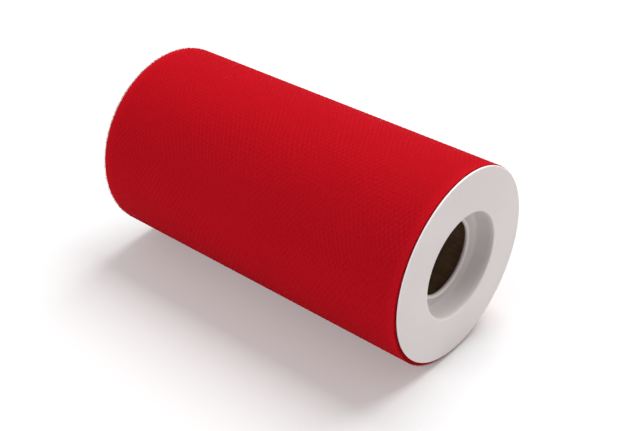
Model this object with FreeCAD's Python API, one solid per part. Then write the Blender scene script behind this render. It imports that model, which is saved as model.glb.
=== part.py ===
"""Roll of fine hexagonal net, wound on a paper core that is closed by two push-in flanged end caps.

Frame: X runs along the roll's axis, Z is up, and the origin is the middle of the axis.
The roll lies on its side. The loose end of the net is on the +Y side, held by a piece of clear tape.
All sizes are in millimetres and all angles in degrees.
"""

import FreeCAD
import Part

import math
import os

# ---- Net
NET_WIDTH = 125.0
NET_THICKNESS = 0.2
WINDING_RADIUS = 33.0  # at the start of the last turn
TAIL_ANGLE = 8.0  # of the cut end, from +Y towards +Z
TAIL_GAP_ANGLE = 4.0  # how far short of a full turn the cut end stops

# ---- Core
CORE_OVERHANG = 0.05  # how far each end of the core stands past the net
INNER_PLY_THICKNESS = 0.6
MIDDLE_PLY_THICKNESS = 0.6
OUTER_PLY_THICKNESS = 0.6

# ---- End cap
FLANGE_INSET = 0.6  # how far the flange's radius is short of the winding's
FLANGE_THICKNESS = 0.7
FLANGE_RIM_ROUND = 0.25
MOUTH_ROUND = 0.4
SOCKET_DEPTH = 6.35  # from the flange's face to the top of the bead
SOCKET_FLOOR_RADIUS = 17.2
SOCKET_FLARE = 0.6  # how much wider the socket is at its mouth, below the rounded edge
SOCKET_FLOOR_ROUND = 1.5
LIP_THICKNESS = 1.0
LIP_BORE_RADIUS = 12.7
LIP_BORE_LAND = 0.4  # length of the bore's straight part, past the bead's round
LIP_BACK_RELIEF = 0.9  # how much wider the lip is at its back, behind the land
LIP_EDGE_ROUND = 0.25
BEAD_WIDTH = 1.3  # of the raised bead round the lip's bore
BEAD_HEIGHT = 0.8
BEAD_TOP_ROUND = 0.6
BEAD_FOOT_ROUND = 0.15
HUB_WALL = 0.9
HUB_END_ROUND = 0.8
HUB_FIT_CLEARANCE = 0.35  # between the hub's wall at the flange and the core's bore
RIB_COUNT = 8
RIB_WIDTH = 1.2
RIB_FIT_CLEARANCE = 0.05  # between the ribs' crests and the core's bore
RIB_ROOT_DEPTH = 0.3  # how far a rib reaches into the hub's wall

# ---- Tapes
START_TAPE_THICKNESS = 0.1
START_TAPE_LENGTH = 115.0
START_TAPE_ANGLE = 30.0
START_TAPE_CENTRE = -60.0
END_TAPE_THICKNESS = 0.1
END_TAPE_WIDTH = 19.0
END_TAPE_BEFORE_TAIL_ANGLE = 28.0
END_TAPE_PAST_TAIL_ANGLE = 26.0

# ---- Places that follow from the sizes
STEP_ANGLE = TAIL_ANGLE + TAIL_GAP_ANGLE  # where the last turn starts
HALF_NET = NET_WIDTH / 2
FLANGE_RADIUS = WINDING_RADIUS - FLANGE_INSET
SEAT_X = HALF_NET + CORE_OVERHANG
FACE_X = SEAT_X + FLANGE_THICKNESS
BEAD_TOP_X = FACE_X - SOCKET_DEPTH
LIP_FACE_X = BEAD_TOP_X - BEAD_HEIGHT
HUB_END_X = LIP_FACE_X - LIP_THICKNESS
LAND_END_X = BEAD_TOP_X - BEAD_TOP_ROUND - LIP_BORE_LAND
MOUTH_RADIUS = SOCKET_FLOOR_RADIUS + SOCKET_FLARE
CORE_BORE_RADIUS = MOUTH_RADIUS + HUB_WALL + HUB_FIT_CLEARANCE
MIDDLE_PLY_RADIUS = CORE_BORE_RADIUS + INNER_PLY_THICKNESS
OUTER_PLY_RADIUS = MIDDLE_PLY_RADIUS + MIDDLE_PLY_THICKNESS
CORE_OUTER_RADIUS = OUTER_PLY_RADIUS + OUTER_PLY_THICKNESS

ORIGIN = FreeCAD.Vector(0, 0, 0)
AXIS = FreeCAD.Vector(1, 0, 0)
FULL_TURN = 360.0
QUARTER = 90.0


def tube(inner_radius, outer_radius, length):
    """A tube round the roll's axis, centred on the origin."""
    start = FreeCAD.Vector(-length / 2, 0, 0)
    outside = Part.makeCylinder(outer_radius, length, start, AXIS)
    return outside.cut(Part.makeCylinder(inner_radius, length, start, AXIS))


def wedge(centre_angle, spread, reach, length):
    """A prism that takes in the directions within half of spread of centre_angle, out past reach."""
    half = math.radians(spread / 2)
    far = reach / math.cos(half)
    corners = [FreeCAD.Vector(-length / 2, 0, 0)]
    for side in (-half, half):
        corners.append(FreeCAD.Vector(-length / 2, far * math.cos(side), far * math.sin(side)))
    face = Part.Face(Part.makePolygon(corners + corners[:1]))
    prism = face.extrude(AXIS * length)
    prism.rotate(ORIGIN, AXIS, centre_angle)
    return prism


def rounded_wire(corners):
    """A closed wire through (x, radius, round) corners, where each round is a tangent arc."""
    points = [FreeCAD.Vector(x, 0, radius) for x, radius, _ in corners]
    count = len(points)
    entries = []
    exits = []
    for i, (_, _, round_radius) in enumerate(corners):
        to_last = (points[i - 1] - points[i]).normalize()
        to_next = (points[(i + 1) % count] - points[i]).normalize()
        back_off = round_radius / math.tan(to_last.getAngle(to_next) / 2)
        entries.append(points[i] + to_last * back_off)
        exits.append(points[i] + to_next * back_off)
    edges = []
    for i, (_, _, round_radius) in enumerate(corners):
        if round_radius > 0:
            inward = ((entries[i] + exits[i]) / 2 - points[i]).normalize()
            half_angle = (entries[i] - points[i]).getAngle(inward)
            to_middle = round_radius / math.sin(half_angle) - round_radius
            edges.append(Part.Arc(entries[i], points[i] + inward * to_middle, exits[i]).toShape())
        edges.append(Part.LineSegment(exits[i], entries[(i + 1) % count]).toShape())
    return Part.Wire(edges)


def spiral_roll(start_radius, length, step_angle):
    """A solid roll whose outline grows by one net thickness in a turn, in four tangent quarter arcs.

    It starts at start_radius in the direction of step_angle, and steps back there after the turn.
    """
    growth = NET_THICKNESS / 4
    offset = growth / 2
    centres = [(-offset, 0), (-offset, -growth), (offset, -growth), (offset, 0)]
    edges = []
    for i, (y, z) in enumerate(centres):
        centre = FreeCAD.Vector(-length / 2, y, z)
        radius = start_radius + offset + growth * i
        points = []
        for share in (0.0, 0.5, 1.0):
            angle = math.radians(QUARTER * (i + share))
            points.append(centre + FreeCAD.Vector(0, math.cos(angle), math.sin(angle)) * radius)
        edges.append(Part.Arc(*points).toShape())
    start = FreeCAD.Vector(-length / 2, start_radius, 0)
    end = FreeCAD.Vector(-length / 2, start_radius + NET_THICKNESS, 0)
    edges.append(Part.LineSegment(end, start).toShape())
    roll = Part.Face(Part.Wire(edges)).extrude(AXIS * length)
    roll.rotate(ORIGIN, AXIS, step_angle)
    return roll


def core_plies():
    """The three paper plies of the spiral-wound core, from the bore outwards."""
    length = 2 * SEAT_X
    return {
        "core_inner_ply": tube(CORE_BORE_RADIUS, MIDDLE_PLY_RADIUS, length),
        "core_middle_ply": tube(MIDDLE_PLY_RADIUS, OUTER_PLY_RADIUS, length),
        "core_outer_ply": tube(OUTER_PLY_RADIUS, CORE_OUTER_RADIUS, length),
    }


def start_tape():
    """Double-sided tape along the core, which holds the start of the net."""
    ring = tube(CORE_OUTER_RADIUS, CORE_OUTER_RADIUS + START_TAPE_THICKNESS, START_TAPE_LENGTH)
    return ring.common(wedge(START_TAPE_CENTRE, START_TAPE_ANGLE, WINDING_RADIUS, START_TAPE_LENGTH))


def net_winding():
    """All the turns of net but the last, as one body, relieved for the tape under its first turn."""
    roll = spiral_roll(WINDING_RADIUS, NET_WIDTH, STEP_ANGLE)
    bore = Part.makeCylinder(CORE_OUTER_RADIUS, NET_WIDTH, FreeCAD.Vector(-HALF_NET, 0, 0), AXIS)
    return roll.cut(bore).cut(start_tape())


def net_last_turn():
    """The last turn of net. It goes on from the step in the winding and ends just short of it."""
    under = spiral_roll(WINDING_RADIUS, NET_WIDTH, STEP_ANGLE)
    over = spiral_roll(WINDING_RADIUS + NET_THICKNESS, NET_WIDTH, STEP_ANGLE)
    gap = wedge(STEP_ANGLE - TAIL_GAP_ANGLE / 2, TAIL_GAP_ANGLE, 2 * WINDING_RADIUS, NET_WIDTH)
    return over.cut(under).cut(gap)


def end_tape():
    """Clear tape over the cut end of the net, part on the last turn and part past its end."""
    outer_radius = WINDING_RADIUS + NET_THICKNESS + END_TAPE_THICKNESS
    cover_angle = math.degrees(END_TAPE_THICKNESS / outer_radius)
    outside = spiral_roll(outer_radius, END_TAPE_WIDTH, TAIL_ANGLE + cover_angle)
    spread = END_TAPE_BEFORE_TAIL_ANGLE + END_TAPE_PAST_TAIL_ANGLE
    centre = TAIL_ANGLE + (END_TAPE_PAST_TAIL_ANGLE - END_TAPE_BEFORE_TAIL_ANGLE) / 2
    patch = outside.common(wedge(centre, spread, 2 * WINDING_RADIUS, END_TAPE_WIDTH))
    under = spiral_roll(WINDING_RADIUS, NET_WIDTH, STEP_ANGLE)
    return patch.cut(under).cut(net_last_turn())


def cap_body():
    """The cap's disc, socket, lip and bead as one turned shape, for the +X end."""
    bead_radius = LIP_BORE_RADIUS + BEAD_WIDTH
    floor_width = SOCKET_FLOOR_RADIUS - bead_radius - BEAD_FOOT_ROUND
    floor_round = min(SOCKET_FLOOR_ROUND, floor_width)
    hub_end_radius = SOCKET_FLOOR_RADIUS + HUB_WALL
    corners = [
        (FACE_X, FLANGE_RADIUS, FLANGE_RIM_ROUND),
        (FACE_X, MOUTH_RADIUS, MOUTH_ROUND),
        (LIP_FACE_X, SOCKET_FLOOR_RADIUS, floor_round),
        (LIP_FACE_X, bead_radius, BEAD_FOOT_ROUND),
        (BEAD_TOP_X, bead_radius, BEAD_TOP_ROUND),
        (BEAD_TOP_X, LIP_BORE_RADIUS, BEAD_TOP_ROUND),
        (LAND_END_X, LIP_BORE_RADIUS, 0),
        (HUB_END_X, LIP_BORE_RADIUS + LIP_BACK_RELIEF, LIP_EDGE_ROUND),
        (HUB_END_X, hub_end_radius, HUB_END_ROUND),
        (SEAT_X, MOUTH_RADIUS + HUB_WALL, 0),
        (SEAT_X, FLANGE_RADIUS, FLANGE_RIM_ROUND),
    ]
    return Part.Face(rounded_wire(corners)).revolve(ORIGIN, AXIS, FULL_TURN)


def crush_rib():
    """One rib on the hub, on the +Y side. Its sloped end leads into the core."""
    crest = CORE_BORE_RADIUS - RIB_FIT_CLEARANCE
    root = SOCKET_FLOOR_RADIUS + HUB_WALL - RIB_ROOT_DEPTH
    start_x = HUB_END_X + HUB_END_ROUND
    lead_x = start_x + (crest - root)
    corners = [
        FreeCAD.Vector(SEAT_X, root, -RIB_WIDTH / 2),
        FreeCAD.Vector(SEAT_X, crest, -RIB_WIDTH / 2),
        FreeCAD.Vector(lead_x, crest, -RIB_WIDTH / 2),
        FreeCAD.Vector(start_x, root, -RIB_WIDTH / 2),
    ]
    blank = Part.Face(Part.makePolygon(corners + corners[:1])).extrude(FreeCAD.Vector(0, 0, RIB_WIDTH))
    within = Part.makeCylinder(crest, SEAT_X - HUB_END_X, FreeCAD.Vector(HUB_END_X, 0, 0), AXIS)
    return blank.common(within)


def end_cap():
    """The cap for the +X end, with its ribs evenly round the hub."""
    cap = cap_body()
    for i in range(RIB_COUNT):
        rib = crush_rib()
        rib.rotate(ORIGIN, AXIS, FULL_TURN * i / RIB_COUNT)
        cap = cap.fuse(rib)
    return cap.removeSplitter()


def end_caps():
    """The same moulding at both ends, turned round for the -X end."""
    right = end_cap()
    left = right.copy()
    left.rotate(ORIGIN, FreeCAD.Vector(0, 0, 1), FULL_TURN / 2)
    return {"end_cap_right": right, "end_cap_left": left}


def all_parts():
    """Every piece by its node name."""
    parts = core_plies()
    parts["start_tape"] = start_tape()
    parts["net_winding"] = net_winding()
    parts["net_last_turn"] = net_last_turn()
    parts["end_tape"] = end_tape()
    parts.update(end_caps())
    return parts


def main():
    """Writes each piece to its own STEP file and prints what it holds."""
    os.makedirs("parts", exist_ok=True)
    for name, shape in all_parts().items():
        shape.exportStep(os.path.join("parts", name + ".step"))
        print(name, "solids", len(shape.Solids), "volume", round(shape.Volume, 1), "valid", shape.isValid())


main()
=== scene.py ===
"""Dresses the capped roll of fine net: its threads and turns, its core, tapes and caps, on a pale floor.

Everything is in metres in the part's frame. X runs along the core's axis, Z is up, and the core's axis
passes through the origin. The net's outer turns hang a little below that axis.
"""

import logging
import math
from collections.abc import Iterable, Mapping, Sequence
from dataclasses import dataclass, field
from enum import Enum
from typing import Any

import bpy
import numpy as np
from mathutils import Matrix, Vector


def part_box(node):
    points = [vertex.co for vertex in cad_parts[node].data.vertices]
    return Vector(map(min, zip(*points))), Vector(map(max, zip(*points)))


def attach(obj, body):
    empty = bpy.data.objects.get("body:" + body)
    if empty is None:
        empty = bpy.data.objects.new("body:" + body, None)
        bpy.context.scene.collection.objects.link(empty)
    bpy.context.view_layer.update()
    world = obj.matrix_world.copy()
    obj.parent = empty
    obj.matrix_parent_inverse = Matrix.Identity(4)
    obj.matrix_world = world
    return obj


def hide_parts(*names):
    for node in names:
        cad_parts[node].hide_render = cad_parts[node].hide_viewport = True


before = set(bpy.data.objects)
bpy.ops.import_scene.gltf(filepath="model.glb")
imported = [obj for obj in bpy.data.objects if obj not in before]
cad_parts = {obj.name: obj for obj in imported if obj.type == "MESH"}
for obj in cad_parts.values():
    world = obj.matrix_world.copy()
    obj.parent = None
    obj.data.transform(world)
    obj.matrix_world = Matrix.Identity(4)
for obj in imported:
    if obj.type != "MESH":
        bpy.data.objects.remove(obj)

LOG = logging.getLogger("net_roll")
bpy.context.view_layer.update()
MM = 0.001
Colour = tuple[float, float, float]
Point = tuple[float, float, float]
Shape = tuple[list[Point], list[tuple[int, ...]]]
Span = tuple[float, float]
Material = bpy.types.Material
Node = bpy.types.Node
Piece = bpy.types.Object
Socket = bpy.types.NodeSocket


# ---------------------------- helpers


@dataclass
class Wiring:
    """A node tree with short calls that add its nodes and join them."""

    tree: bpy.types.NodeTree

    def add(self, kind: str, inputs: Mapping[Any, Any] | None = None, **settings: Any) -> Node:
        """Adds a node.

        Args:
            kind: The node's class name.
            inputs: Values or sockets for its inputs, by name or number.
            **settings: Values for the node's own properties.

        Returns:
            The new node.
        """
        node = self.tree.nodes.new(kind)
        for name, value in settings.items():
            setattr(node, name, value)
        for key, value in (inputs or {}).items():
            self.put(node.inputs[key], value)
        return node

    def put(self, socket: Socket, value: Any) -> None:
        """Joins a socket or node to an input, or sets the input's plain value.

        Args:
            socket: The input.
            value: A socket, a node whose first output is meant, or a plain value.
        """
        if isinstance(value, Node):
            value = value.outputs[0]
        if isinstance(value, Socket):
            self.tree.links.new(value, socket)
        else:
            socket.default_value = value

    def math(self, operation: str, *values: Any, clamp: bool = False) -> Socket:
        """The result of a Math node on numbers or sockets, which clamp keeps from 0 to 1."""
        node = self.add("ShaderNodeMath", dict(enumerate(values)), operation=operation, use_clamp=clamp)
        return node.outputs[0]

    def plus(self, first: Any, second: Any, clamp: bool = False) -> Socket:
        """The sum of two numbers or sockets."""
        return self.math("ADD", first, second, clamp=clamp)

    def minus(self, first: Any, second: Any, clamp: bool = False) -> Socket:
        """The first number or socket less the second."""
        return self.math("SUBTRACT", first, second, clamp=clamp)

    def times(self, first: Any, second: Any) -> Socket:
        """The product of two numbers or sockets."""
        return self.math("MULTIPLY", first, second)

    def over(self, first: Any, second: Any) -> Socket:
        """The first number or socket divided by the second."""
        return self.math("DIVIDE", first, second)

    def vector(self, operation: str, *values: Any, output: str = "Vector") -> Socket:
        """The named output of a Vector Math node on vectors or sockets."""
        node = self.add("ShaderNodeVectorMath", dict(enumerate(values)), operation=operation)
        return node.outputs[output]

    def split(self, vector: Any) -> Any:
        """The sockets of a vector's three parts."""
        return self.add("ShaderNodeSeparateXYZ", {0: vector}).outputs

    def join(self, x: Any = 0.0, y: Any = 0.0, z: Any = 0.0) -> Socket:
        """The vector that has these three parts."""
        return self.add("ShaderNodeCombineXYZ", {0: x, 1: y, 2: z}).outputs[0]

    def around(self, x: Any, turn: Any, radius: Any, height: Any) -> Socket:
        """Finds a place round an axis that lies along X.

        Args:
            x: How far along the axis the place is.
            turn: Its angle from +Y towards +Z.
            radius: Its distance from the axis.
            height: The axis's Z.

        Returns:
            The place's socket.
        """
        y = self.times(radius, self.math("COSINE", turn))
        z = self.plus(self.times(radius, self.math("SINE", turn)), height)
        return self.join(x, y, z)

    def polar(self, place: Any) -> tuple[Socket, Socket, Socket]:
        """Finds where a place is round the X axis.

        Args:
            place: The place's socket.

        Returns:
            Its X, its angle from +Y towards +Z and its distance from the axis.
        """
        x, y, z = self.split(place)
        radius = self.vector("LENGTH", self.join(0.0, y, z), output="Value")
        return x, self.math("ARCTAN2", z, y), radius

    def noise(self, place: Any, scale: float, detail: float, **more: float) -> Any:
        """Adds a Noise Texture, with any further inputs by name, and gives its outputs."""
        inputs = {"Vector": place, "Scale": scale, "Detail": detail, **more}
        return self.add("ShaderNodeTexNoise", inputs).outputs

    def ramp(self, value: Any, low: float, high: float, to_low: float = 0.0, to_high: float = 1.0) -> Socket:
        """A value's place from low to high, mapped to to_low..to_high with eased ends."""
        steps = {0: value, 1: low, 2: high, 3: to_low, 4: to_high}
        return self.add("ShaderNodeMapRange", steps, interpolation_type="SMOOTHSTEP").outputs[0]

    def blend(self, share: Any, first: Any, second: Any) -> Socket:
        """The mix of two colours or colour sockets, by the share of the second."""
        colours = {"Factor": share, 6: opaque(first), 7: opaque(second)}
        return self.add("ShaderNodeMix", colours, data_type="RGBA").outputs[2]

    def moved(self, geometry: Any, place: Any) -> Socket:
        """The geometry with its points at their new places."""
        inputs = {"Geometry": geometry, "Position": place}
        return self.add("GeometryNodeSetPosition", inputs).outputs[0]


def seen_share(w: Wiring) -> Socket:
    """Finds 1 where a ray shows a surface, directly, in a gloss or through glass, and 0 where it lights one.

    Args:
        w: The tree's wiring.

    Returns:
        The share's socket.
    """
    rays = w.add("ShaderNodeLightPath").outputs
    seen = w.math("MAXIMUM", rays["Is Camera Ray"], rays["Is Glossy Ray"])
    return w.math("MAXIMUM", seen, rays["Is Transmission Ray"])


def opaque(colour: Any) -> Any:
    """Adds full alpha to a plain colour, and leaves a socket as it is."""
    return (*colour, 1.0) if isinstance(colour, tuple) else colour


def mesh_object(name: str, points: Iterable[Sequence[float]], faces: Iterable[Sequence[int]]) -> Piece:
    """Makes a mesh object at the origin and links it to the scene.

    Args:
        name: The piece's name.
        points: The mesh's vertices.
        faces: The mesh's faces, as vertex numbers.

    Returns:
        The new object.
    """
    mesh = bpy.data.meshes.new(name)
    mesh.from_pydata([tuple(map(float, p)) for p in points], [], [tuple(map(int, f)) for f in faces])
    mesh.update()
    piece = bpy.data.objects.new(name, mesh)
    bpy.context.scene.collection.objects.link(piece)
    return piece


def grid_faces(rows: int, columns: int, close_columns: bool = False) -> list[tuple[int, int, int, int]]:
    """Quads over a grid of points that is stored row by row.

    Args:
        rows: How many rows of points there are.
        columns: How many points a row has.
        close_columns: Whether the last column joins the first.

    Returns:
        The faces as vertex numbers.
    """
    faces = []
    for i in range(rows - 1):
        for j in range(columns if close_columns else columns - 1):
            k = (j + 1) % columns
            faces.append((i * columns + j, i * columns + k, (i + 1) * columns + k, (i + 1) * columns + j))
    return faces


def smooth(piece: Piece, angle: float = 30.0) -> None:
    """Shades a mesh smooth, and keeps its edges sharper than the angle in degrees."""
    piece.data.shade_smooth()
    piece.data.set_sharp_from_angle(angle=math.radians(angle))


def dress(piece: Piece, material: Material) -> None:
    """Puts one material on the whole piece."""
    piece.data.materials.clear()
    piece.data.materials.append(material)


def settle(piece: Piece, body: str, slot: str, *nodes: str) -> None:
    """Says which body a piece rides on and which CAD nodes it stands for.

    Args:
        piece: The finished piece.
        body: The CAD body that carries it.
        slot: Not used.
        *nodes: The CAD nodes that it replaces.
    """
    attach(piece, body)
    if nodes:
        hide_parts(*nodes)
    LOG.info("%s rides on %s with %d faces", piece.name, body, len(piece.data.polygons))


@dataclass
class Recipe:
    """A Geometry Nodes tree that is built in code, run once on a piece and turned into its plain mesh.

    Besides the starting mesh and the material, its inputs are the named whole numbers and floats.
    """

    name: str
    whole: Sequence[str]
    floats: Sequence[str]
    tree: bpy.types.NodeTree = field(init=False)
    wiring: Wiring = field(init=False)
    given: Node = field(init=False)

    def __post_init__(self) -> None:
        """Makes the empty tree with its named inputs."""
        self.tree = bpy.data.node_groups.new(self.name, "GeometryNodeTree")
        kinds = {"Geometry": "Geometry", "Finish": "Material"}
        kinds |= dict.fromkeys(self.whole, "Int") | dict.fromkeys(self.floats, "Float")
        for label, kind in kinds.items():
            self.tree.interface.new_socket(label, in_out="INPUT", socket_type=f"NodeSocket{kind}")
        self.tree.interface.new_socket("Geometry", in_out="OUTPUT", socket_type="NodeSocketGeometry")
        self.wiring = Wiring(self.tree)
        self.given = self.wiring.add("NodeGroupInput")

    def value(self, label: str) -> Socket:
        """The socket of one named input."""
        return self.given.outputs[label]

    def end(self, geometry: Socket) -> None:
        """Shades the geometry smooth, and ends the tree in Realize Instances and Set Material.

        Args:
            geometry: The finished geometry.
        """
        w = self.wiring
        real = w.add("GeometryNodeRealizeInstances", {"Geometry": geometry})
        shaded = w.add("GeometryNodeSetShadeSmooth", {"Geometry": real, "Shade Smooth": True})
        dressed = w.add("GeometryNodeSetMaterial", {"Geometry": shaded, "Material": self.value("Finish")})
        w.add("NodeGroupOutput", {0: dressed})

    def run(self, piece: Piece, finish: Material, **values: float) -> None:
        """Runs the tree on a piece and keeps the result as the piece's mesh.

        Args:
            piece: The object that carries the starting mesh.
            finish: The material that the tree sets.
            **values: The tree's inputs, with underscores for spaces.
        """
        modifier = piece.modifiers.new(self.name, "NODES")
        modifier.node_group = self.tree
        wanted: dict[str, Any] = {label.replace("_", " "): value for label, value in values.items()}
        wanted["Finish"] = finish
        for item in self.tree.interface.items_tree:
            if item.item_type == "SOCKET" and item.in_out == "INPUT" and item.name in wanted:
                modifier[item.identifier] = wanted[item.name]
        graph = bpy.context.evaluated_depsgraph_get()
        baked = piece.evaluated_get(graph)
        made = bpy.data.meshes.new_from_object(baked, preserve_all_data_layers=True, depsgraph=graph)
        piece.modifiers.remove(modifier)
        made.name = piece.name
        piece.data = made


# ---------------------------- finishes


@dataclass
class Skin(Wiring):
    """A material's wiring, with its Principled shader."""

    shader: Node

    def colour(self, value: Any) -> None:
        """Joins the base colour."""
        self.put(self.shader.inputs["Base Color"], value)

    def roughness(self, value: Any) -> None:
        """Joins the roughness."""
        self.put(self.shader.inputs["Roughness"], value)

    def relief(self, height: Any, depth: float, strength: float) -> None:
        """Joins a height from 0 to 1 as bump, with the depth of 1 in metres."""
        bump = self.add("ShaderNodeBump", {"Height": height, "Distance": depth, "Strength": strength})
        self.put(self.shader.inputs["Normal"], bump)


@dataclass(frozen=True)
class Finish:
    """What every finish shares: a name and a Principled shader whose plain values sit on its own sockets."""

    name: str

    def start(self, **sockets: Any) -> tuple[Material, Skin]:
        """Makes the material.

        Args:
            **sockets: Values for the shader's inputs, with underscores for spaces.

        Returns:
            The material and its skin.
        """
        material = bpy.data.materials.new(self.name)
        material.use_nodes = True
        shader = material.node_tree.nodes["Principled BSDF"]
        for label, value in sockets.items():
            socket = shader.inputs[label.replace("_", " ")]
            socket.default_value = opaque(value) if socket.type == "RGBA" else value
        return material, Skin(material.node_tree, shader)


class NetPlace(Enum):
    """Where on the roll a net material is used."""

    THREADS = "net_threads"
    TURNS_BENEATH = "net_turns_beneath"
    CUT_EDGES = "net_cut_edges"


def mesh_pattern() -> bpy.types.NodeTree:
    """Makes the shader group that draws one turn of hexagonal net.

    Returns:
        A group from a flat place and a pitch, in metres, to how much thread there is, from 0 to 1.
    """
    tree = bpy.data.node_groups.new("net_mesh_pattern", "ShaderNodeTree")
    tree.interface.new_socket("Place", in_out="INPUT", socket_type="NodeSocketVector")
    tree.interface.new_socket("Thread", in_out="OUTPUT", socket_type="NodeSocketFloat")
    w = Wiring(tree)
    place = w.add("NodeGroupInput").outputs["Place"]
    cell = (1.0, math.sqrt(3.0), 1.0)
    half = tuple(c / 2 for c in cell)
    back = tuple(-h for h in half)
    first = w.vector("WRAP", place, half, back)
    second = w.vector("WRAP", w.vector("ADD", place, half), half, back)
    flat = [w.vector("MULTIPLY", centre, (1, 1, 0)) for centre in (second, first)]
    nearer = w.math("LESS_THAN", *(w.vector("LENGTH", centre, output="Value") for centre in flat))
    chosen = w.add("ShaderNodeMix", {"Factor": nearer, 4: first, 5: second}, data_type="VECTOR").outputs[1]
    reach = w.vector("ABSOLUTE", chosen)
    across = w.split(reach)[0]
    slant = w.vector("DOT_PRODUCT", reach, (0.5, math.sqrt(3.0) / 2, 0.0), output="Value")
    pillars = w.ramp(across, 0.40, 0.46)
    slants = w.times(w.ramp(slant, 0.43, 0.47), 0.4)
    thread = w.math("MAXIMUM", pillars, slants)
    w.add("NodeGroupOutput", {"Thread": thread})
    return tree


@dataclass(frozen=True)
class NetFinish(Finish):
    """Fine dyed net: threads with a dull lustre, and painted shade between them where deeper turns show.

    Each row of turns_seen is one turn under the last: its shift across and round the roll, in widths and
    lengths of the strip, its slant in degrees and how strongly it shows.
    """

    place: NetPlace = NetPlace.THREADS
    thread: Colour = (0.495, 0.0054, 0.0123)
    # Painted shade: hollow and deep are darker reds for the shaded hollows and deeper turns between the
    # threads.
    hollow: Colour = (0.380, 0.0038, 0.0090)
    deep: Colour = (0.355, 0.0034, 0.0083)
    pitch: float = 1.72 * MM
    strip: Span = (0.125, 0.207)
    gloss: float = 0.012
    turns_seen: tuple[tuple[float, float, float, float], ...] = (
        (0.35, 0.30, 0.9, 1.0),
        (0.10, 0.72, -1.6, 0.72),
        (0.66, 0.15, 2.4, 0.5),
    )
    drift: float = 0.016
    # Painted light: where the lift towards the strip's ends begins, across the strip.
    painted_end_light_from: float = 0.465
    strokes_in_a_pitch: float = 1.15
    stroke_turn: float = 6.0
    patch_scale: float = 55.0
    dye_scale: float = 900.0
    fibre_scale: float = 6000.0
    wobble_scale: float = 9.0
    cloud_scale: float = 220.0
    streaks_in_a_metre: float = 5200.0
    streak_turn: float = 6.0
    speck_scale: float = 2600.0

    def make(self) -> Material:
        """Makes the material for its place on the roll."""
        material, w = self.start(Roughness=0.7, Specular_IOR_Level=self.gloss)
        coordinates = w.add("ShaderNodeTexCoord")
        if self.place is NetPlace.TURNS_BENEATH:
            self._turns_beneath(w, coordinates.outputs["UV"])
        elif self.place is NetPlace.CUT_EDGES:
            self._cut_edges(w, coordinates.outputs["Object"])
        else:
            self._threads(w, coordinates.outputs["Object"])
        return material

    def _threads(self, w: Skin, place: Any) -> None:
        """Gives the threads uneven dye, painted shade in short strokes round the roll, in patches, and a fine
        fibre relief.

        Args:
            w: The material's wiring.
            place: The place on the roll, in metres.
        """
        x, y, z = w.split(place)
        turn = w.math("ARCTAN2", w.times(z, -1.0), w.times(y, -1.0))
        long_way = w.join(w.times(x, self.strokes_in_a_pitch / self.pitch), w.times(turn, self.stroke_turn))
        strokes = w.noise(long_way, 1.0, 2.0, Roughness=0.6)[0]
        patches = w.noise(place, self.patch_scale, 2.0)[0]
        # Painted shade: in patches, short strokes darken the threads towards the hollow red.
        stroke = w.times(w.ramp(strokes, 0.50, 0.66), w.ramp(patches, 0.40, 0.62))
        dye = w.noise(place, self.dye_scale, 3.0)[0]
        pale = w.minus(w.ramp(dye, 0.30, 0.60), stroke, clamp=True)
        w.colour(w.blend(pale, self.hollow, self.thread))
        fibre = w.noise(place, self.fibre_scale, 2.0)[0]
        w.relief(fibre, 0.02 * MM, 0.6)

    def _turns_beneath(self, w: Skin, place: Any) -> None:
        """Draws the next turns of net as they show through the last one, with painted shade between their
        threads, and paler towards the roll's ends as painted light through the net, which lies loosely there.

        Args:
            w: The material's wiring.
            place: The place on the flat strip of net, where 1 is its whole width or length.
        """
        pattern = mesh_pattern()
        seen: Any = None
        wobble = w.noise(place, self.wobble_scale, 1.0)["Color"]
        drift = w.vector("SCALE", w.vector("SUBTRACT", wobble, (0.5, 0.5, 0.5)))
        drift.node.inputs["Scale"].default_value = self.drift
        scale = (self.strip[0] / self.pitch, self.strip[1] / self.pitch, 1.0)
        for along, round_it, slant, weight in self.turns_seen:
            shift = {
                "Vector": w.vector("ADD", place, drift),
                "Location": (along, round_it, 0.0),
                "Rotation": (0.0, 0.0, math.radians(slant)),
                "Scale": scale,
            }
            group = w.add("ShaderNodeGroup", node_tree=pattern)
            w.put(group.inputs["Place"], w.add("ShaderNodeMapping", shift))
            layer = w.times(group.outputs["Thread"], weight)
            seen = layer if seen is None else w.math("MAXIMUM", seen, layer)
        dye = w.noise(place, self.cloud_scale, 4.0)[0]
        share = w.plus(w.times(seen, 0.8), w.times(dye, 0.3))
        # Painted light: towards both ends of the strip the colour is lifted towards the thread red, for light
        # that comes through the net there.
        from_middle = w.math("ABSOLUTE", w.minus(w.split(place)[0], 0.5))
        painted_end_light = w.times(w.ramp(from_middle, self.painted_end_light_from, 0.500), 0.6)
        share = w.plus(share, painted_end_light, clamp=True)
        # Painted shade: the colour falls to the darker deep red between the deeper turns' threads.
        w.colour(w.blend(share, self.deep, self.thread))
        w.relief(seen, 0.08 * MM, 0.6)

    def _cut_edges(self, w: Skin, place: Any) -> None:
        """Streaks the ends of the winding round the axis, as stacked cut edges are, with painted shade
        between them.

        Args:
            w: The material's wiring.
            place: The place on the roll, in metres.
        """
        _, turn, radius = w.polar(place)
        bands_out = w.times(radius, self.streaks_in_a_metre)
        streak = w.around(bands_out, turn, self.streak_turn, 0.0)
        bands = w.noise(streak, 1.0, 3.0, Roughness=0.6)[0]
        specks = w.noise(place, self.speck_scale, 2.0)[0]
        share = w.ramp(w.plus(w.times(bands, 0.65), w.times(specks, 0.35)), 0.35, 0.62)
        # Painted shade: a darker red between the cut edges.
        painted_gap_shade = tuple(c * 0.55 for c in self.hollow)
        w.colour(w.blend(share, painted_gap_shade, self.thread))
        w.relief(share, 0.12 * MM, 0.8)


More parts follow.
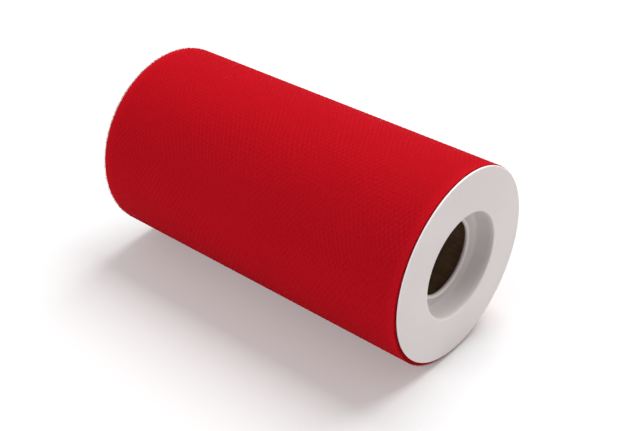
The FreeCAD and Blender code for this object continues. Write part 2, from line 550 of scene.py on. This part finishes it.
@dataclass(frozen=True)
class MouldedPlastic(Finish):
    """White moulded plastic, satin, with faint flow marks and scuffs, and painted shade inside the socket."""

    body: Colour = (0.870, 0.792, 0.784)
    scuffed: Colour = (0.830, 0.758, 0.748)
    # Painted shade: the darker tone laid inside the socket.
    painted_socket_shade: Colour = (0.715, 0.660, 0.650)
    face: float = 63.25 * MM
    mouth: float = 18.1 * MM
    bead: float = 14.0 * MM
    # Painted shade grows over this depth behind the face; the bead keeps this share of its own tone.
    painted_shade_depth: float = 2.0 * MM
    bead_unshaded_share: float = 0.75
    flow_scale: float = 55.0
    scuff_scale: float = 420.0
    skin_scale: float = 2300.0
    skin_depth: float = 0.012 * MM
    satin: Span = (0.34, 0.56)

    def make(self) -> Material:
        """Makes the material."""
        material, w = self.start(
            IOR=1.49,
            Specular_IOR_Level=0.38,
            Subsurface_Weight=0.12,
            Subsurface_Radius=(1.0, 0.7, 0.6),
            Subsurface_Scale=1.2 * MM,
        )
        place = w.add("ShaderNodeTexCoord").outputs["Object"]
        flow = w.noise(place, self.flow_scale, 3.0, Distortion=0.6)[0]
        scuff = w.noise(place, self.scuff_scale, 5.0, Roughness=0.7)[0]
        marks = w.times(w.ramp(scuff, 0.56, 0.74), 0.4)
        share = w.plus(w.times(w.ramp(flow, 0.3, 0.7), 0.45), marks, clamp=True)
        skin_tone = w.blend(share, self.body, self.scuffed)
        # Painted shade: the colour darkens inside the socket, less so on the bead.
        outside_painted_shade = self._outside_painted_shade(w, place)
        w.colour(w.blend(outside_painted_shade, self.painted_socket_shade, skin_tone))
        w.roughness(w.ramp(share, 0.0, 1.0, *self.satin))
        skin = w.noise(place, self.skin_scale, 2.0)[0]
        w.relief(w.plus(skin, w.times(flow, 3.0)), self.skin_depth, 0.5)
        return material

    def _outside_painted_shade(self, w: Wiring, place: Any) -> Socket:
        """Finds where painted shade darkens the cap: inside the socket, and less on the bead.

        Args:
            w: The material's wiring.
            place: The place on the part, in metres.

        Returns:
            The share's socket, from 0 for full painted shade to 1 for none.
        """
        x, _, radius = w.polar(place)
        near_face = w.ramp(w.math("ABSOLUTE", x), self.face - self.painted_shade_depth, self.face - 0.1 * MM)
        outside = w.ramp(radius, self.mouth, self.mouth + 0.3 * MM)
        on_bead = w.ramp(radius, self.bead - 0.2 * MM, self.bead + 0.2 * MM, self.bead_unshaded_share, 0.0)
        return w.math("MAXIMUM", w.math("MAXIMUM", near_face, outside), on_bead)


@dataclass(frozen=True)
class KraftPaper(Finish):
    """Unbleached core paper with long fibres and the spiral seam that its ply was wound on."""

    pale: Colour = (0.370, 0.234, 0.140)
    dark: Colour = (0.205, 0.122, 0.071)
    seam_turns_per_metre: float = 16.0
    seam_offset: float = 0.0
    fibre_lie: Point = (0.6, 0.2, 0.5)
    fibre_scale: Point = (260.0, 900.0, 900.0)
    cloud_scale: float = 90.0
    matt: Span = (0.75, 0.92)

    def make(self) -> Material:
        """Makes the material."""
        material, w = self.start(Specular_IOR_Level=0.15)
        place = w.add("ShaderNodeTexCoord").outputs["Object"]
        x, turn, _ = w.polar(place)
        round_it = w.over(turn, math.tau)
        lead = w.times(x, self.seam_turns_per_metre)
        # Ten more turns keep the sum above zero.
        wound = w.math("FRACT", w.plus(w.plus(round_it, lead), 10.0 + self.seam_offset))
        off_seam = w.math("ABSOLUTE", w.minus(wound, 0.5))
        seam = w.ramp(off_seam, 0.488, 0.497)
        lie = {"Vector": place, "Rotation": self.fibre_lie, "Scale": self.fibre_scale}
        fibres = w.noise(w.add("ShaderNodeMapping", lie), 1.0, 6.0, Roughness=0.65)[0]
        cloud = w.noise(place, self.cloud_scale, 3.0)[0]
        grain = w.plus(w.times(fibres, 0.6), w.times(cloud, 0.4))
        paper = w.blend(w.ramp(grain, 0.32, 0.68), self.dark, self.pale)
        w.colour(w.blend(seam, paper, tuple(c * 0.3 for c in self.dark)))
        w.roughness(w.ramp(grain, 0.3, 0.7, *self.matt))
        height = w.minus(fibres, w.times(seam, 2.5))
        w.relief(height, 0.06 * MM, 0.7)
        return material


@dataclass(frozen=True)
class TapeFilm(Finish):
    """Thin tape: clear film with a soft gloss, or a matt white tissue."""

    tint: Colour = (0.90, 0.89, 0.84)
    cover: float = 0.15
    gloss: float = 0.18
    gloss_spread: float = 0.16
    stretch: Point = (900.0, 120.0, 120.0)
    smear_scale: float = 160.0

    def make(self) -> Material:
        """Makes the material."""
        material, w = self.start(IOR=1.5, Specular_IOR_Level=0.5, Alpha=self.cover)
        place = w.add("ShaderNodeTexCoord").outputs["Object"]
        stretched = w.add("ShaderNodeMapping", {"Vector": place, "Scale": self.stretch})
        lines = w.noise(stretched, 1.0, 3.0)[0]
        smear = w.noise(place, self.smear_scale, 4.0)[0]
        share = w.ramp(smear, 0.35, 0.7)
        w.colour(w.blend(share, self.tint, tuple(c * 0.93 for c in self.tint)))
        w.roughness(w.ramp(share, 0.0, 1.0, self.gloss, self.gloss + self.gloss_spread))
        w.relief(lines, 0.02 * MM, 0.5)
        return material


@dataclass(frozen=True)
class PaleGround(Finish):
    """The studio's floor: matt, nearly white, and lifted to the background's white where it is lit."""

    tone: Colour = (0.72, 0.72, 0.72)
    lift: float = 0.16

    def make(self) -> Material:
        """Makes the material."""
        material, w = self.start(Base_Color=self.tone, Roughness=0.9, Specular_IOR_Level=0.0)
        strength = w.times(seen_share(w), self.lift)
        glow = w.add("ShaderNodeEmission", {"Color": (1, 1, 1, 1), "Strength": strength})
        both = w.add("ShaderNodeAddShader", {0: w.shader, 1: glow})
        w.put(material.node_tree.nodes["Material Output"].inputs["Surface"], both)
        return material


# ---------------------------- the roll


@dataclass
class NetRoll:
    """The wound net: the last turn with its threads, the turns beneath it and their cut edges."""

    pitch: float = 1.72 * MM
    thickness: float = 0.2 * MM
    first_angle: float = math.radians(12.0)
    sweep: float = math.radians(356.0)
    pillar_width: float = 0.24 * MM
    slant_width: float = 0.11 * MM
    thread_height: float = 0.09 * MM
    slant_lift: float = 0.6
    bands: int = 3
    slack_drop: float = 0.6 * MM
    edge_round: float = 0.25 * MM
    ridge_step: float = 0.3 * MM
    ridge_share: float = 0.46
    ridge_height: float = 0.12 * MM
    ridge_points: int = 150
    sheet_inset: float = 0.25 * MM
    body_inset: float = 0.12 * MM
    brink: float = 0.0004
    hem: float = 0.03 * MM
    curl: float = 0.02 * MM
    steps_round: int = 360
    steps_across: int = 41
    waver: float = 0.06 * MM
    wavers: float = 400.0
    stray: Point = (0.5 * MM, 2.2 * MM, 0.0)
    stray_scale: float = 70.0
    widest: float = 1.18
    loose_width: float = 0.075 * MM
    loose_spread: float = 0.16 * MM
    loose_root: float = 0.05 * MM
    loose_in_a_row: int = 3
    loose_seed: int = 7
    nod: float = 0.3
    sway: float = 0.5
    shortest_share: float = 0.3
    longest_right: float = 0.22 * MM
    longest_left: float = 0.75 * MM
    half_width: float = field(init=False)
    start_radius: float = field(init=False)
    axis_z: float = field(init=False)
    bore: float = field(init=False)

    def __post_init__(self) -> None:
        """Takes the roll's width, radius and axis from the CAD frame."""
        low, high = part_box("net_last_turn")
        rise = self.thickness * math.pi / math.tau
        self.half_width = (high.x - low.x) / 2
        self.axis_z = (high.z + low.z) / 2 + rise / 2 - self.slack_drop
        middle_share = (math.pi - self.first_angle) / math.tau
        self.start_radius = (high.z - low.z) / 2 - self.thickness * middle_share
        core_low, core_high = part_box("core_outer_ply")
        self.bore = (core_high.z - core_low.z) / 2

    @property
    def row(self) -> float:
        """How far apart the rows of hexagons are, round the roll."""
        return self.pitch * math.sqrt(3.0) / 2

    @property
    def unrolled(self) -> float:
        """The last turn's length when it is laid flat."""
        return self.sweep * (self.start_radius + self.thickness / 2)

    @property
    def lowest(self) -> float:
        """How low the threads of the last turn reach."""
        at_the_bottom = 0.75 * math.tau - self.first_angle
        return self.axis_z - self.radius_at(at_the_bottom) - self.thread_height

    def radius_at(self, angle: float) -> float:
        """The last turn's outer radius at an angle past its start."""
        return self.start_radius + self.thickness * angle / math.tau

    def wrapped(self, x: float, angle: float, radius: float) -> Point:
        """A point at x, at an angle past the last turn's start, and at a radius."""
        turn = self.first_angle + angle
        return (x, radius * math.cos(turn), self.axis_z + radius * math.sin(turn))

    def sheet(self, finish: Material) -> Piece:
        """Makes the last turn as one curved sheet that turns down to the winding at its edges.

        Args:
            finish: The net's material for the turns that show between the threads.

        Returns:
            The sheet.
        """
        drop = self.thickness - self.hem
        edge = [(1.0, drop), (0.9995, drop * 0.45), (0.997, self.curl)]
        across = [(-share, down) for share, down in edge]
        across += [(share, 0.0) for share in np.linspace(-0.99, 0.99, self.steps_across)]
        across += edge[::-1]
        angles = [0.0, *np.linspace(2 * self.brink, self.sweep - 5 * self.brink, self.steps_round)]
        downs = [0.0] * len(angles) + [self.hem, drop]
        angles += [self.sweep - self.brink, self.sweep]
        points = []
        places = []
        for angle, tail_down in zip(angles, downs, strict=True):
            for share, down in across:
                x = share * (self.half_width - self.sheet_inset)
                radius = self.radius_at(angle) - self.thread_height - max(down, tail_down)
                points.append(self.wrapped(x, angle, radius))
                places.append(((share + 1) / 2, angle / self.sweep))
        faces = [face[::-1] for face in grid_faces(len(angles), len(across))]
        piece = mesh_object("net_last_turn_sheet", points, faces)
        layer = piece.data.uv_layers.new(name="strip")
        for loop in piece.data.loops:
            layer.data[loop.index].uv = places[loop.vertex_index]
        smooth(piece, 50)
        dress(piece, finish)
        return piece

    def stitch(self) -> Shape:
        """Makes the three threads that meet at one knot, laid flat, which repeat over the whole net.

        Returns:
            The points and faces. Y runs round the roll, and Z stands out of it. The faces look down,
            because winding them round the roll turns them over.
        """
        side = self.pitch / math.sqrt(3.0)
        legs = (
            (90.0, self.pillar_width, (0.92, self.widest, 0.90, self.widest, 0.92)),
            (90.0 + 120.0, self.slant_width, (1.15, 0.70, 1.15)),
            (90.0 - 120.0, self.slant_width, (1.15, 0.70, 1.15)),
        )
        points: list[Point] = []
        faces: list[tuple[int, ...]] = []
        for heading, width, swell in legs:
            height = self.thread_height * (1.0 if heading == 90.0 else self.slant_lift)
            ahead = Vector((math.cos(math.radians(heading)), math.sin(math.radians(heading)), 0))
            beside = Vector((-ahead.y, ahead.x, 0))
            first = len(points)
            for i, share in enumerate(swell):
                middle = ahead * (side * i / (len(swell) - 1))
                for step, lift in ((-0.5, -0.25), (0.0, 0.0), (0.5, -0.25)):
                    spot = middle + beside * (width * share * step)
                    points.append((spot.x, spot.y, height * (lift if step else share / self.widest)))
            for i in range(len(swell) - 1):
                for j in range(2):
                    a = first + 3 * i + j
                    faces.append((a, a + 1, a + 4, a + 3))
        return points, faces

    def lattice(self) -> Recipe:
        """Builds the tree that repeats the stitch over a flat lattice and winds it round the roll."""
        recipe = Recipe(
            "hexagonal_net",
            ("Columns", "Rows"),
            ("Pitch", "First Place", "Start Radius", "Thickness", "Start Angle", "Axis Height", "Seed"),
        )
        w = recipe.wiring
        given = recipe.value
        pitch = given("Pitch")
        row = w.times(pitch, math.sqrt(3.0) / 2)
        size_x = w.times(w.minus(given("Columns"), 1), pitch)
        size_y = w.times(w.minus(given("Rows"), 1), row)
        counts = {"Vertices X": given("Columns"), "Vertices Y": given("Rows")}
        knots = w.add("GeometryNodeMeshGrid", {"Size X": size_x, "Size Y": size_y, **counts})
        spot = w.split(w.add("GeometryNodeInputPosition"))
        from_first = w.plus(spot[1], w.times(size_y, 0.5))
        stagger = w.math("MODULO", w.math("ROUND", w.over(from_first, row)), 2.0)
        along = w.plus(w.plus(spot[0], w.times(size_x, 0.5)), given("First Place"))
        along = w.plus(along, w.times(stagger, w.times(pitch, 0.5)))
        laid = w.moved(knots, w.join(along, from_first))
        stitched = w.add("GeometryNodeInstanceOnPoints", {"Points": laid, "Instance": given("Geometry")})
        real = w.add("GeometryNodeRealizeInstances", {"Geometry": stitched})
        here = w.add("GeometryNodeInputPosition")
        pull = w.noise(w.vector("ADD", here, w.join(z=given("Seed"))), self.stray_scale, 2.0)["Color"]
        stray = w.vector("MULTIPLY", w.vector("SUBTRACT", pull, (0.5, 0.5, 0.5)), self.stray)
        x, y, z = w.split(w.vector("ADD", here, stray))
        middle = w.plus(given("Start Radius"), w.times(given("Thickness"), 0.5))
        angle = w.over(w.math("MAXIMUM", y, 0.0), middle)
        growth = w.over(w.times(given("Thickness"), angle), math.tau)
        radius = w.plus(w.plus(given("Start Radius"), growth), z)
        wound = w.around(x, w.plus(angle, given("Start Angle")), radius, given("Axis Height"))
        recipe.end(w.moved(real, wound))
        return recipe

    def threads(self, finish: Material) -> list[Piece]:
        """Makes the last turn's threads, in bands across the net's width.

        Args:
            finish: The threads' material.

        Returns:
            One piece for each band.
        """
        recipe = self.lattice()
        columns = int((2 * self.half_width - 1.5 * self.pitch) / self.pitch) + 1
        rows = int((self.unrolled - self.pitch / math.sqrt(3.0)) / self.row) + 1
        first = -(columns - 0.5) * self.pitch / 2
        each = columns // self.bands
        pieces = []
        for band in range(self.bands):
            count = each if band < self.bands - 1 else columns - each * (self.bands - 1)
            piece = mesh_object(f"net_last_turn_threads_{band + 1}", *self.stitch())
            recipe.run(
                piece,
                finish,
                Columns=count,
                Rows=rows,
                Pitch=self.pitch,
                First_Place=first + band * each * self.pitch,
                Start_Radius=self.start_radius - self.thread_height,
                Thickness=self.thickness,
                Start_Angle=self.first_angle,
                Axis_Height=self.axis_z,
                Seed=0.0,
            )
            pieces.append(piece)
        return pieces

    def winding(self, finish: Material) -> Piece:
        """Makes the body of turns under the last one: a ring whose outside grows by a turn's thickness.

        Args:
            finish: The material of the stacked turns.

        Returns:
            The body.
        """
        end = self.half_width - self.body_inset
        left = [(-end, share) for share in (0.0, *np.linspace(0.1, 0.9, 9), 0.985)]
        left.append((-end + self.edge_round, 1.0))
        profile = left + [(x, 1.0) for x in np.linspace(-end * 0.9, end * 0.9, 5)]
        profile += [(-x, share) for x, share in left[::-1]]
        count = self.steps_round
        points = []
        for x, share in profile:
            for j in range(count):
                angle = math.tau * j / count
                outer = Vector(self.wrapped(x, angle, self.radius_at(angle) - self.thickness))
                turn = self.first_angle + angle
                inner = Vector((x, self.bore * math.cos(turn), self.bore * math.sin(turn)))
                points.append(inner.lerp(outer, share))
        closed = grid_faces(len(profile) + 1, count, close_columns=True)
        faces = [tuple(v % len(points) for v in face) for face in closed]
        piece = mesh_object("net_winding_turns", points, faces)
        smooth(piece, 30)
        dress(piece, finish)
        return piece

    def edge_spiral(self) -> Recipe:
        """Builds the tree that winds a small ridge over an end, as the cut edges of the turns stand there."""
        recipe = Recipe(
            "turn_edges",
            (),
            ("Turns", "Inner Radius", "Outer Radius", "Half Width", "Axis Drop", "Side", "Waver"),
        )
        w = recipe.wiring
        given = recipe.value
        radii = {"Start Radius": given("Inner Radius"), "End Radius": given("Outer Radius"), "Height": 0.0}
        turns = {"Resolution": self.ridge_points, "Rotations": given("Turns")}
        coil = w.add("GeometryNodeCurveSpiral", turns | radii)
        share = w.add("GeometryNodeSplineParameter").outputs["Factor"]
        spot = w.split(w.add("GeometryNodeInputPosition"))
        waver = w.noise(w.join(w.times(share, self.wavers)), 1.0, 3.0)[0]
        stand = w.times(w.minus(waver, 0.5), given("Waver"))
        out = w.times(w.plus(given("Half Width"), stand), given("Side"))
        raised = w.minus(spot[1], w.times(share, given("Axis Drop")))
        placed = w.moved(coil, w.join(out, spot[0], raised))
        outwards = {"Curve": placed, "Normal": w.join(given("Side"))}
        turned = w.add("GeometryNodeSetCurveNormal", outwards, mode="FREE")
        outline = w.add("GeometryNodeMeshToCurve", {"Mesh": given("Geometry")})
        ridge = w.add("GeometryNodeCurveToMesh", {"Curve": turned, "Profile Curve": outline})
        recipe.end(ridge.outputs[0])
        return recipe

    def turn_edges(self, finish: Material) -> list[Piece]:
        """Makes the ridge of cut edges over each end of the winding.

        Args:
            finish: The material of the cut edges.

        Returns:
            One piece for each end.
        """
        recipe = self.edge_spiral()
        half = self.ridge_step * self.ridge_share
        pieces = []
        for name, side in (("right", 1.0), ("left", -1.0)):
            top = self.ridge_height
            outline = [(0.0, -half, 0.0), (top, -half * 0.5, 0.0), (top, half * 0.5, 0.0), (0.0, half, 0.0)]
            piece = mesh_object(f"net_cut_edges_{name}", outline, [])
            piece.data.edges.add(3)
            piece.data.edges.foreach_set("vertices", [0, 1, 1, 2, 2, 3])
            inner = self.bore + self.ridge_step
            outer = self.start_radius - self.thickness - self.ridge_step
            recipe.run(
                piece,
                finish,
                Turns=(outer - inner) / self.ridge_step,
                Inner_Radius=inner,
                Outer_Radius=outer,
                Half_Width=self.half_width - self.body_inset - 0.5 * self.ridge_height,
                Axis_Drop=-self.axis_z,
                Side=side,
                Waver=self.waver,
            )
            pieces.append(piece)
        return pieces

    def loose_end(self, side: float) -> Shape:
        """Makes one cut thread that points out of the roll's end. It is 1 m long, so its scale is its length.

        Args:
            side: 1 for the +X end and -1 for the other.

        Returns:
            The points and faces.
        """
        width = self.loose_width
        points = []
        for along, share in ((-0.4, 1.0), (0.55, 1.1), (1.0, 0.45)):
            for k in range(3):
                turn = math.tau * k / 3
                points.append((side * along, width * share * math.cos(turn), width * share * math.sin(turn)))
        faces: list[tuple[int, ...]] = []
        for i in range(2):
            for k in range(3):
                a, b = 3 * i + k, 3 * i + (k + 1) % 3
                quad = (a, b, b + 3, a + 3)
                faces.append(quad if side > 0 else quad[::-1])
        faces.append((6, 7, 8) if side > 0 else (8, 7, 6))
        return points, faces

    def end_scatter(self) -> Recipe:
        """Builds the tree that stands a cut thread at each row of the last turns, all round an end."""
        floats = ("Start Angle", "Sweep", "Radius", "Depth", "Thickness", "Edge", "Axis Height")
        recipe = Recipe("loose_thread_ends", ("Count", "Seed"), (*floats, "Shortest", "Longest"))
        w = recipe.wiring
        given = recipe.value

        def chance(low: Any, high: Any, step: int) -> Socket:
            """A random number for each thread, from low to high."""
            inputs = {2: low, 3: high, "Seed": w.plus(given("Seed"), step)}
            return w.add("FunctionNodeRandomValue", inputs, data_type="FLOAT").outputs[1]

        threads = w.add("GeometryNodePoints", {"Count": given("Count")})
        index = w.plus(w.add("GeometryNodeInputIndex"), chance(0.1, 0.9, 1))
        turned = w.times(w.over(index, given("Count")), given("Sweep"))
        angle = w.plus(turned, given("Start Angle"))
        growth = w.over(w.times(given("Thickness"), turned), math.tau)
        shallow = w.times(chance(0.0, 1.0, 2), given("Depth"))
        radius = w.minus(w.plus(given("Radius"), growth), shallow)
        placed = w.moved(threads, w.around(given("Edge"), angle, radius, given("Axis Height")))
        lean = w.join(angle, chance(-self.nod, self.nod, 3), chance(-self.sway, self.sway, 4))
        size = w.join(chance(given("Shortest"), given("Longest"), 5), 1.0, 1.0)
        stood = w.add(
            "GeometryNodeInstanceOnPoints",
            {"Points": placed, "Instance": given("Geometry"), "Rotation": lean, "Scale": size},
        )
        recipe.end(stood.outputs[0])
        return recipe

    def loose_ends(self, finish: Material) -> list[Piece]:
        """Makes the cut threads that stand out past the flanges, longer at the -X end.

        Args:
            finish: The threads' material.

        Returns:
            One piece for each end.
        """
        recipe = self.end_scatter()
        rows = int(self.unrolled / self.row)
        pieces = []
        for name, side, longest in (("right", 1.0, self.longest_right), ("left", -1.0, self.longest_left)):
            piece = mesh_object(f"net_loose_ends_{name}", *self.loose_end(side))
            recipe.run(
                piece,
                finish,
                Count=self.loose_in_a_row * rows,
                Start_Angle=self.first_angle,
                Sweep=self.sweep,
                Radius=self.start_radius - self.loose_spread / 2,
                Depth=self.loose_spread,
                Thickness=self.thickness,
                Edge=side * (self.half_width - self.loose_root),
                Axis_Height=self.axis_z,
                Shortest=self.shortest_share * longest,
                Longest=longest,
                Seed=self.loose_seed,
            )
            pieces.append(piece)
        return pieces

    def settle_net(self, pieces: Sequence[Piece], sheet: Piece) -> None:
        """Puts the net's pieces on the roll, and the sheet in place of the CAD's last turn.

        Args:
            pieces: The pieces on the sheet.
            sheet: The last turn.
        """
        for piece in pieces:
            settle(piece, "roll", "net")
        settle(sheet, "roll", "net", "net_last_turn")


@dataclass
class Core:
    """The spiral-wound paper core, whose plies keep their CAD shapes."""

    nodes: tuple[str, ...] = ("core_inner_ply", "core_middle_ply", "core_outer_ply")
    seam_step: float = 0.31

    def build(self) -> None:
        """Dresses each ply in its own paper, each with its seam in another place."""
        for i, node in enumerate(self.nodes):
            paper = KraftPaper(f"kraft_{node}", seam_offset=self.seam_step * i)
            dress(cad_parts[node], paper.make())
            LOG.info("%s is dressed", node)


@dataclass
class Tapes:
    """The tape under the first turn and the clear tape over the net's loose end."""

    net: NetRoll
    film: float = 0.05 * MM
    tooth: float = 1.15 * MM
    tooth_depth: float = 0.55 * MM
    ramp: float = math.radians(1.6)
    bubble: float = 0.05 * MM
    bubble_reach: float = 0.014
    bead_turns: Span = (2100.0, 730.0)
    ripple: float = 0.012 * MM
    ripple_turns: Span = (900.0, 40.0)
    rows: int = 96
    columns: int = 67

    def surface(self, turn: float) -> float:
        """The net's outer radius at an angle from +Y towards +Z, with a ramp down past its loose end.

        Args:
            turn: The angle.

        Returns:
            The radius.
        """
        loose = self.net.first_angle + self.net.sweep - math.tau
        fallen = min(max((turn - loose) / self.ramp, 0.0), 1.0)
        eased = fallen * fallen * (3.0 - 2.0 * fallen)
        tail = self.net.radius_at(math.tau + turn - self.net.first_angle)
        start = self.net.radius_at(max(turn - self.net.first_angle, 0.0))
        return tail + (start - tail) * eased

    def clear_tape(self) -> Piece:
        """Makes the clear tape, with toothed ends and a line of trapped air along the net's edge."""
        low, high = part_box("end_tape")
        reach = high.y
        first = math.asin(max(-1.0, low.z / reach))
        last = math.asin(min(1.0, high.z / reach))
        half = (high.x - low.x) / 2
        loose = self.net.first_angle + self.net.sweep - math.tau
        fine, coarse = self.bead_turns
        across, round_it = self.ripple_turns
        points = []
        for i in range(self.rows):
            for j in range(self.columns):
                x = -half + 2 * half * j / (self.columns - 1)
                saw = abs(((x + half) / self.tooth) % 1.0 - 0.5) * 2.0
                bite = self.tooth_depth * saw / reach
                start, stop = first + bite, last - bite
                turn = start + (stop - start) * i / (self.rows - 1)
                near_step = math.exp(-(((turn - loose - 0.01) / self.bubble_reach) ** 2))
                beads = 0.5 + 0.5 * math.sin(x * fine) * math.sin(x * coarse + 1.0)
                air = self.bubble * near_step * beads
                ripple = self.ripple * math.sin(x * across + round_it * turn)
                edge = i in (0, self.rows - 1) or j in (0, self.columns - 1)
                lift = 0.0 if edge else self.film + air + ripple
                radius = self.surface(turn) + lift
                points.append((x, radius * math.cos(turn), self.net.axis_z + radius * math.sin(turn)))
        faces = [face[::-1] for face in grid_faces(self.rows, self.columns)]
        piece = mesh_object("clear_end_tape", points, faces)
        smooth(piece, 40)
        dress(piece, TapeFilm("clear_tape").make())
        return piece

    def build(self) -> None:
        """Dresses the tape under the net and lays the clear tape over the net's loose end."""
        tissue = TapeFilm("white_tissue_tape", tint=(0.80, 0.78, 0.72), cover=1.0, gloss=0.5)
        dress(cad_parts["start_tape"], tissue.make())
        settle(self.clear_tape(), "roll", "clear_tape", "end_tape")


@dataclass
class EndCaps:
    """The two push-in caps."""

    nodes: tuple[str, str] = ("end_cap_right", "end_cap_left")

    def build(self) -> None:
        """Dresses both caps in white plastic."""
        plastic = MouldedPlastic("white_moulded_plastic", face=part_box("end_cap_right")[1].x).make()
        for node in self.nodes:
            dress(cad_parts[node], plastic)
            LOG.info("%s is dressed", node)


# ---------------------------- the studio


@dataclass
class Lamp:
    """One soft square lamp that looks at the roll."""

    name: str
    place: Point
    size: float
    watts: float
    target: Point = (0.0, 0.0, 0.0)

    def build(self) -> None:
        """Makes the lamp."""
        data = bpy.data.lights.new(self.name, "AREA")
        data.energy = self.watts
        data.size = self.size
        lamp = bpy.data.objects.new(self.name, data)
        lamp.location = self.place
        lamp.rotation_euler = (Vector(self.target) - Vector(self.place)).to_track_quat("-Z", "Y").to_euler()
        bpy.context.scene.collection.objects.link(lamp)
        LOG.info("%s gives %.2f W", self.name, self.watts)


@dataclass
class Studio:
    """The floor, the sky, the lamps, and the camera on its bearing, shifted a little in its own view."""

    ground_z: float
    floor_half: float = 4.0
    sky: float = 0.38
    azimuth: float = 40.345
    elevation: float = 33.53
    distance: float = 0.37695
    aside: float = 0.00272
    up: float = -0.00672
    lens: float = 64.794
    sensor: float = 36.0
    reach: Span = (0.01, 20.0)
    drop: float = -0.0006

    def floor(self) -> None:
        """Makes the pale floor that the net rests on."""
        z = self.ground_z
        half = self.floor_half
        corners = [(-half, -half, z), (half, -half, z), (half, half, z), (-half, half, z)]
        ground = mesh_object("studio_floor", corners, [(0, 1, 2, 3)])
        dress(ground, PaleGround("pale_ground").make())

    def world(self) -> None:
        """Makes an even grey sky that the camera and reflections see as white."""
        world = bpy.data.worlds.new("even_sky")
        bpy.context.scene.world = world
        world.use_nodes = True
        w = Wiring(world.node_tree)
        sky = world.node_tree.nodes["Background"]
        sky.inputs["Color"].default_value = (1, 1, 1, 1)
        w.put(sky.inputs["Strength"], w.ramp(seen_share(w), 0.0, 1.0, self.sky, 1.0))

    def camera(self) -> None:
        """Sets up the camera at its bearing round the roll."""
        az = math.radians(self.azimuth)
        el = math.radians(self.elevation)
        back = Vector((math.sin(az) * math.cos(el), -math.cos(az) * math.cos(el), math.sin(el)))
        right = Vector((math.cos(az), math.sin(az), 0.0))
        upward = back.cross(right)
        data = bpy.data.cameras.new("view")
        data.sensor_width = self.sensor
        data.lens = self.lens
        data.clip_start, data.clip_end = self.reach
        eye = bpy.data.objects.new("view", data)
        place = back * self.distance + right * self.aside + upward * self.up + Vector((0.0, 0.0, self.drop))
        turn = Matrix((right, upward, back)).transposed().to_4x4()
        eye.matrix_world = Matrix.Translation(place) @ turn
        bpy.context.scene.collection.objects.link(eye)
        bpy.context.scene.camera = eye

    def build(self) -> None:
        """Builds the whole studio."""
        bpy.context.scene.view_settings.view_transform = "Standard"
        self.floor()
        self.world()
        self.camera()
        Lamp("back_softbox", (0.02, 0.475, 0.823), size=0.75, watts=10.6).build()
        Lamp("left_softbox", (-0.217, -0.810, 0.446), size=0.50, watts=3.6).build()


def main() -> None:
    """Builds every piece of the roll and the studio round it."""
    logging.basicConfig(level=logging.INFO, format="%(message)s")
    net = NetRoll()
    Studio(ground_z=net.lowest).build()
    Core().build()
    EndCaps().build()
    LOG.info("net: radius %.5f, axis %.5f, half width %.5f", net.start_radius, net.axis_z, net.half_width)
    strip = (2 * net.half_width, net.unrolled)
    beneath = NetFinish("net_beneath", NetPlace.TURNS_BENEATH, strip=strip).make()
    edges = NetFinish("net_edges", NetPlace.CUT_EDGES).make()
    yarn = NetFinish("net_yarn", NetPlace.THREADS).make()
    settle(net.winding(edges), "roll", "net", "net_winding")
    for ridge in net.turn_edges(edges):
        settle(ridge, "roll", "net")
    net.settle_net([*net.threads(yarn), *net.loose_ends(yarn)], net.sheet(beneath))
    Tapes(net).build()


if __name__ == "__main__":
    main()
